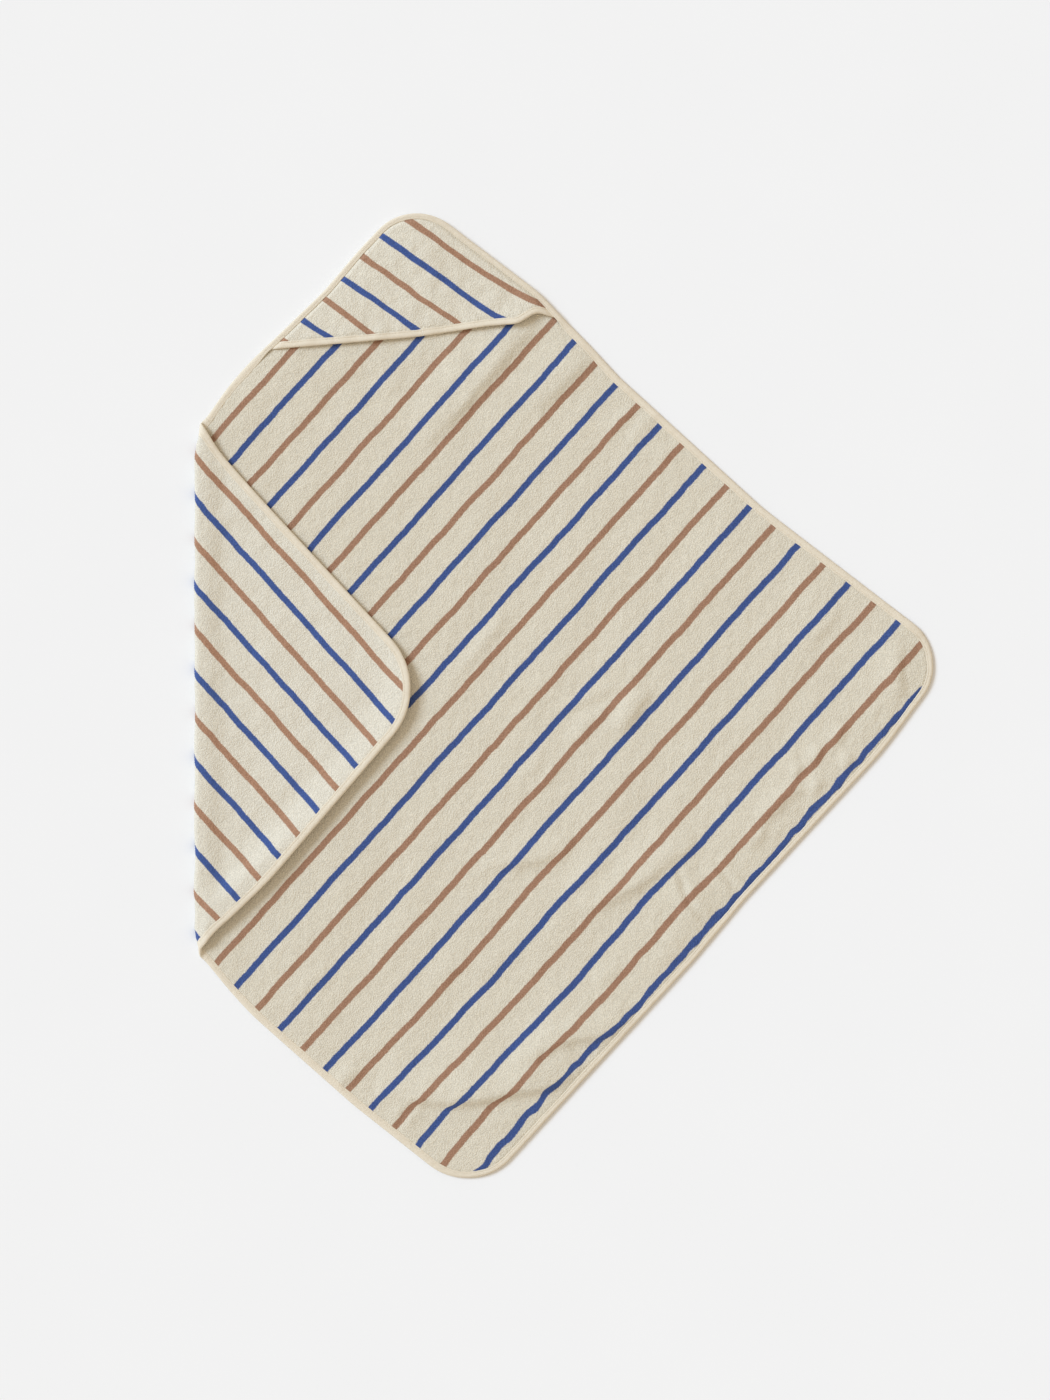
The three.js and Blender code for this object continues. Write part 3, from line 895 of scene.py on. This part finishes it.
class Nodes:
    """Small helper for node trees."""

    def __init__(self, name):
        self.material = bpy.data.materials.new(name)
        self.material.use_nodes = True
        self.tree = self.material.node_tree
        self.shader = self.tree.nodes["Principled BSDF"]

    def add(self, kind, inputs=(), **settings):
        """A new node. inputs pairs names or numbers of its inputs with values or other nodes' outputs."""
        node = self.tree.nodes.new(kind)
        for key, value in settings.items():
            setattr(node, key, value)
        for key, value in dict(inputs).items():
            self.put(node.inputs[key], value)
        return node

    def put(self, socket, value):
        if isinstance(value, bpy.types.NodeSocket):
            self.tree.links.new(value, socket)
        else:
            socket.default_value = value

    def look(self, name, value):
        self.put(self.shader.inputs[name], value)

    def math(self, operation, a, b=0.0, c=0.0):
        return self.add("ShaderNodeMath", enumerate((a, b, c)), operation=operation).outputs[0]

    def plus(self, a, b):
        return self.math("ADD", a, b)

    def times(self, a, b):
        return self.math("MULTIPLY", a, b)

    def around(self, value, middle, depth):
        """How far a value lies from its middle, times a depth."""
        return self.times(self.math("SUBTRACT", value, middle), depth)

    def combine(self, x, y):
        return self.add("ShaderNodeCombineXYZ", enumerate((x, y))).outputs[0]

    def split(self, vector):
        node = self.add("ShaderNodeSeparateXYZ", {0: vector})
        return node.outputs[0], node.outputs[1]

    def noise(self, vector, scale, detail=2.0, rough=0.5):
        inputs = {"Vector": vector, "Scale": scale, "Detail": detail, "Roughness": rough}
        return self.add("ShaderNodeTexNoise", inputs).outputs[0]

    def cells(self, vector, scale):
        """The distance to the nearest of a field of scattered points."""
        return self.add("ShaderNodeTexVoronoi", {"Vector": vector, "Scale": scale}).outputs["Distance"]

    def ramp(self, value, low, high, to_low=0.0, to_high=1.0):
        inputs = {"Value": value, "From Min": low, "From Max": high, "To Min": to_low, "To Max": to_high}
        return self.add("ShaderNodeMapRange", inputs, interpolation_type="SMOOTHSTEP").outputs["Result"]

    def mix(self, factor, a, b, blend="MIX"):
        inputs = {"Factor": factor, "A": a, "B": b}
        return self.add("ShaderNodeMix", inputs, data_type="RGBA", blend_type=blend).outputs["Result"]

    def shaded(self, colour, shade):
        """A colour times a shade."""
        grey = self.add("ShaderNodeCombineColor", enumerate((shade, shade, shade)))
        return self.mix(1.0, colour, grey.outputs[0], "MULTIPLY")

    def bump(self, height, distance, strength=1.0, normal=None):
        inputs = {"Height": height, "Distance": distance, "Strength": strength}
        if normal is not None:
            inputs["Normal"] = normal
        return self.add("ShaderNodeBump", inputs).outputs[0]


def millimetres(n):
    """The place on the flat cloth, in millimetres."""
    uv = n.add("ShaderNodeUVMap", uv_map="cloth")
    inputs = {0: uv.outputs[0], "Scale": 1000}
    return n.add("ShaderNodeVectorMath", inputs, operation="SCALE").outputs[0]


def terry_material():
    n = Nodes("striped terry")
    mm = millimetres(n)
    x, y = n.split(mm)
    stripe = n.add("ShaderNodeAttribute", attribute_name="stripe").outputs["Fac"]
    number = n.math("ROUND", stripe)
    # roughly along the stripe, which is enough for its waviness
    along = n.plus(n.times(x, 0.72), n.times(y, 0.75))
    wander = n.noise(n.combine(n.times(along, 0.021), n.times(number, 7.31)), 1.0, 2.0)
    jitter = n.noise(n.combine(n.times(along, 0.12), n.times(number, 3.7)), 1.0, 2.0)
    rough_edge = n.noise(mm, 0.75, 2.0, 0.6)
    off = n.math("SUBTRACT", stripe, number)
    off = n.plus(off, n.around(wander, 0.5, 0.13))
    off = n.plus(off, n.around(jitter, 0.5, 0.045))
    half = n.plus(n.math("ABSOLUTE", off), n.around(rough_edge, 0.5, 0.06))
    mask = n.ramp(half, 0.088, 0.127, 1.0, 0.0)
    odd = n.math("ABSOLUTE", n.math("MODULO", number, 2.0))
    cream = n.mix(n.noise(mm, 0.035, 3.0), srgb(222, 213, 193), srgb(228, 220, 201))
    pale = n.add("ShaderNodeAttribute", attribute_name="pale").outputs["Fac"]
    cream = n.mix(pale, cream, srgb(229, 222, 205))
    blue = n.mix(n.noise(mm, 0.5, 2.0), srgb(46, 71, 136), srgb(84, 107, 162))
    brown = n.mix(n.noise(mm, 0.5, 2.0), srgb(154, 112, 86), srgb(190, 150, 124))
    band = n.mix(n.math("GREATER_THAN", odd, 0.5), brown, blue)
    deep = n.mix(pale, (0.92, 0.92, 0.92, 1), (1.05, 1.05, 1.05, 1))
    band = n.mix(1.0, band, deep, "MULTIPLY")
    fine = n.noise(mm, 1.7, 3.0, 0.65)
    grain = n.noise(mm, 0.68, 2.0, 0.6)
    # the terry's loops, high on each loop and low between them: they raise the loops in the bump, and darken
    # the colour between the loops with painted shade
    tuft_height_and_shade = n.ramp(n.cells(mm, 0.72), 0.1, 0.85, 1.0, 0.0)
    mottled = n.noise(mm, 0.16, 3.0, 0.6)
    shade = n.math("MULTIPLY_ADD", tuft_height_and_shade, 0.21, 0.87)
    for value, depth in ((fine, 0.30), (grain, 0.32), (mottled, 0.12)):
        shade = n.plus(shade, n.around(value, 0.5, depth))
    n.look("Base Color", n.shaded(n.mix(mask, cream, band), shade))
    n.look("Roughness", n.ramp(fine, 0.3, 0.7, 0.86, 0.98))
    n.look("Specular IOR Level", 0.2)
    n.look("Sheen Weight", 0.12)
    n.look("Sheen Roughness", 0.5)
    lumps = n.bump(n.noise(mm, 0.19, 2.0), 0.0011, 0.5)
    height = n.plus(n.times(tuft_height_and_shade, 0.7), n.times(fine, 0.6))
    n.look("Normal", n.bump(height, 0.0007, 0.8, lumps))
    return n.material


WEAVE_PITCH = 0.75
TWIST_PITCH = 0.45


def tape_material():
    n = Nodes("cotton tape")
    mm = millimetres(n)
    x, y = n.split(mm)
    warp = n.math("SINE", n.times(n.plus(x, y), 2 * math.pi / WEAVE_PITCH))
    weft = n.math("SINE", n.times(n.math("SUBTRACT", x, y), 2 * math.pi / WEAVE_PITCH))
    weave = n.math("MULTIPLY_ADD", n.times(warp, weft), 0.5, 0.5)
    fine = n.noise(mm, 1.2, 3.0, 0.6)
    slow = n.noise(mm, 0.09, 2.0)
    colour = n.mix(slow, srgb(236, 223, 200), srgb(244, 233, 212))
    shade = n.plus(n.math("MULTIPLY_ADD", weave, 0.07, 0.93), n.around(fine, 0.5, 0.12))
    n.look("Base Color", n.shaded(colour, shade))
    n.look("Roughness", n.ramp(fine, 0.3, 0.7, 0.72, 0.86))
    n.look("Specular IOR Level", 0.3)
    n.look("Sheen Weight", 0.06)
    folds = n.bump(n.noise(mm, 0.33, 2.0), 0.0006, 0.6)
    threads = n.plus(weave, n.times(fine, 0.4))
    n.look("Normal", n.bump(threads, 0.00018, 0.8, folds))
    return n.material


def thread_material():
    n = Nodes("cotton thread")
    mm = millimetres(n)
    twist = n.math("SINE", n.times(n.plus(*n.split(mm)), 2 * math.pi / TWIST_PITCH))
    colour = n.mix(n.noise(mm, 0.4), srgb(228, 215, 190), srgb(238, 227, 204))
    n.look("Base Color", colour)
    n.look("Roughness", n.ramp(twist, -1, 1, 0.5, 0.65))
    n.look("Normal", n.bump(twist, 0.00008, 0.6))
    return n.material


def floor_material():
    n = Nodes("pale floor")
    position = n.add("ShaderNodeTexCoord").outputs["Object"]
    tint = n.mix(n.noise(position, 6.0), srgb(241, 241, 241), srgb(243, 243, 243))
    n.look("Base Color", tint)
    n.look("Roughness", 0.9)
    n.look("Specular IOR Level", 0.1)
    return n.material


# -------- the object
(terry_main, main_area), (terry_corner, corner_area) = make_terry()
(hood_left, left_area), (hood_right, right_area) = make_hood()
binding_main, stitches_main, binding_corner, stitches_corner = make_edges()
front_binding_left, front_stitches_left, front_binding_right, front_stitches_right = make_front_edges()

cloths = (terry_main, terry_corner, hood_left, hood_right)
bindings = (binding_main, binding_corner, front_binding_left, front_binding_right)
seams = (stitches_main, stitches_corner, front_stitches_left, front_stitches_right)
for material, slot, pieces in (
    (terry_material(), "terry", cloths),
    (tape_material(), "binding", bindings),
    (thread_material(), "thread", seams),
):
    for piece in pieces:
        piece.data.materials.append(material)

# The towel's own pieces, with the hood corner's bend just below the hood's mouth: each has its placement
# baked into its mesh.
for piece in (terry_main, binding_main, stitches_main):
    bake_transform(piece)

# The side corner's pieces, round the fold and over it: each has its placement baked into its mesh.
for piece in (terry_corner, binding_corner, stitches_corner):
    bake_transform(piece)

# The hood's front, in a left and a right half whose sewn sides lie on the hood corner: each piece has its
# placement baked into its mesh.
for (_, way), pieces in (
    (LEFT_SIDE, (hood_left, front_binding_left, front_stitches_left)),
    (RIGHT_SIDE, (hood_right, front_binding_right, front_stitches_right)),
):
    for piece in pieces:
        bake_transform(piece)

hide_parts("main_panel", "hood_back_panel")
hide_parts("corner_panel", "fold_panel")
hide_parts("hood_front_panel")
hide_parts("hood_panel_margin")
SIDES = ("upper_left", "upper_right", "lower_right", "lower_left", "hood_corner")
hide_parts(*(side + "_binding" for side in SIDES))
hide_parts(*(side + "_stitching" for side in SIDES))
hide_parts("corner_binding", "fold_binding_lower", "fold_binding_upper")
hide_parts("corner_stitching")
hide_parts("hood_front_binding")
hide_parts("hood_front_stitching")

# -------- floor, light and camera
FLOOR_HALF = 30.0
FLOOR_BELOW = 0.0003  # clear of the binding's lowest puckers
SKY_COLOUR, SKY_STRENGTH = (1.0, 0.885, 0.735, 1), 0.665
SUN_COLOUR, SUN_ENERGY = (0.658, 0.806, 1.0), 2.743
SUN_SPREAD = math.radians(26)
SUN_WAY = Vector((0.84, -0.42, -0.68))
CAMERA_PLACE = (-0.0391, -0.0041, 3.405)
CAMERA_LENS = 85

floor_mesh = bpy.data.meshes.new("floor")
floor_corners = [(x * FLOOR_HALF, y * FLOOR_HALF, 0) for x, y in ((-1, -1), (1, -1), (1, 1), (-1, 1))]
floor_mesh.from_pydata(floor_corners, [], [(0, 1, 2, 3)])
floor = placed("floor", floor_mesh)
floor.location.z = -FLOOR_BELOW
floor_mesh.materials.append(floor_material())

scene = bpy.context.scene
scene.view_settings.view_transform = "Standard"
scene.view_settings.look = "None"

world = bpy.data.worlds.new("studio")
world.use_nodes = True
background = world.node_tree.nodes["Background"]
background.inputs["Color"].default_value = SKY_COLOUR
background.inputs["Strength"].default_value = SKY_STRENGTH
scene.world = world

sun_data = bpy.data.lights.new("key", "SUN")
sun_data.energy = SUN_ENERGY
sun_data.angle = SUN_SPREAD
sun_data.color = SUN_COLOUR
sun = placed("key", sun_data)
sun.rotation_euler = SUN_WAY.to_track_quat("-Z", "Y").to_euler()

camera_data = bpy.data.cameras.new("camera")
camera_data.lens = CAMERA_LENS
camera_data.clip_end = 50  # metres
camera = placed("camera", camera_data)
camera.location = CAMERA_PLACE
scene.camera = camera
